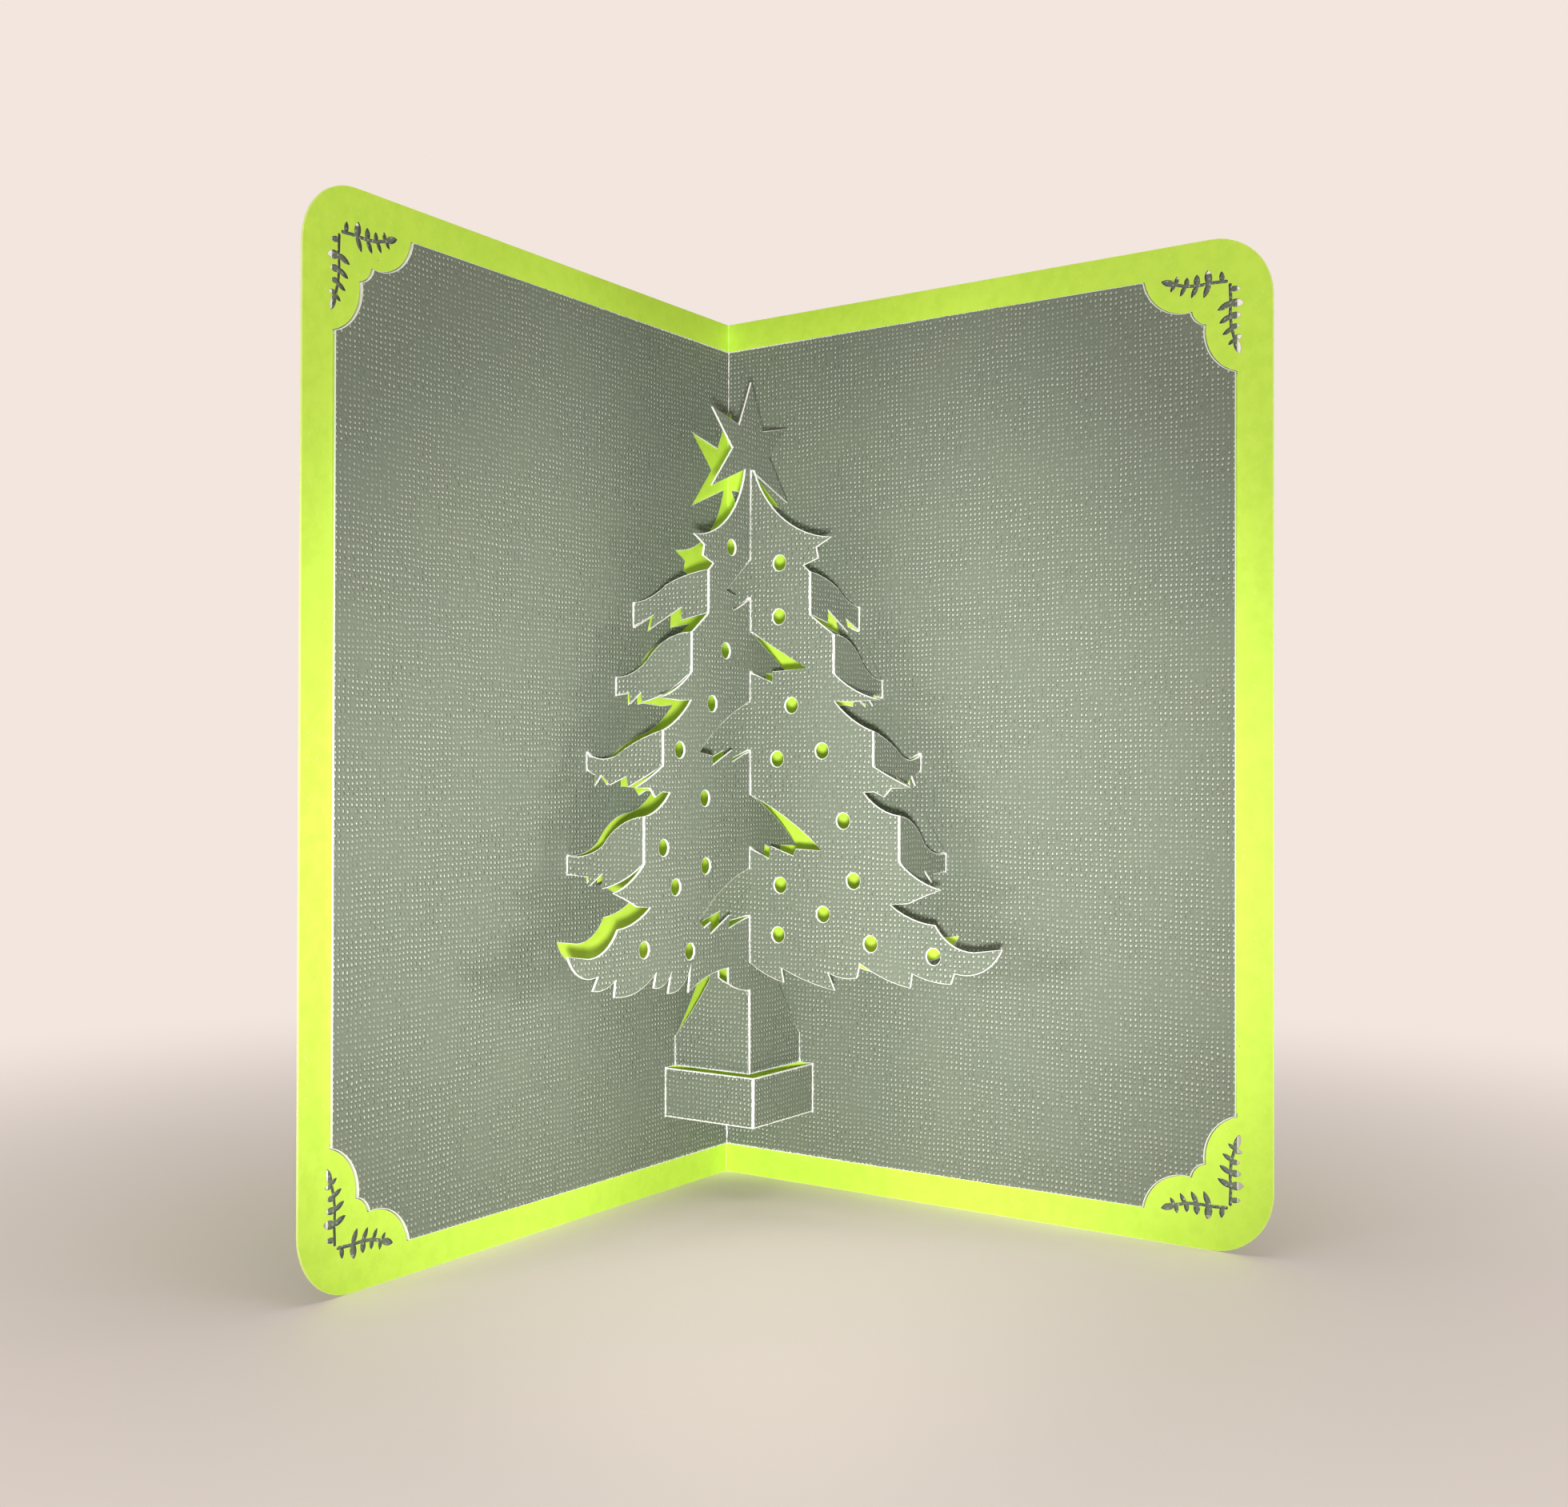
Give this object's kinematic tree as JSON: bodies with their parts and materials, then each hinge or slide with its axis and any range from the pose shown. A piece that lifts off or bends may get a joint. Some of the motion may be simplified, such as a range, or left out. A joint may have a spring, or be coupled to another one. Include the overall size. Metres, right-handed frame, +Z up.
{
  "type": "pop up card",
  "caption": "Lime green folded card standing open, with a grey-green embossed sheet tucked into its scalloped corners and cut and folded into a pop-up fir tree with a star and pot.",
  "frame": {"origin": "centre of the card's box, at the height of the bottom edges that it stands on", "axes": "+Z up along the fold, +Y towards the back of the fold, the card opens towards -Y"},
  "size_m": [0.1394, 0.0748, 0.152],
  "materials": {
    "lime_cardstock": "matt, with fine pale and dark flecks",
    "sage_cardstock": "matt, embossed with fine dots, with a white core at every cut edge and fold"
  },
  "bodies": {
    "root": {"backing_card": "lime_cardstock", "tree_sheet": "sage_cardstock"}
  },
  "joints": []
}
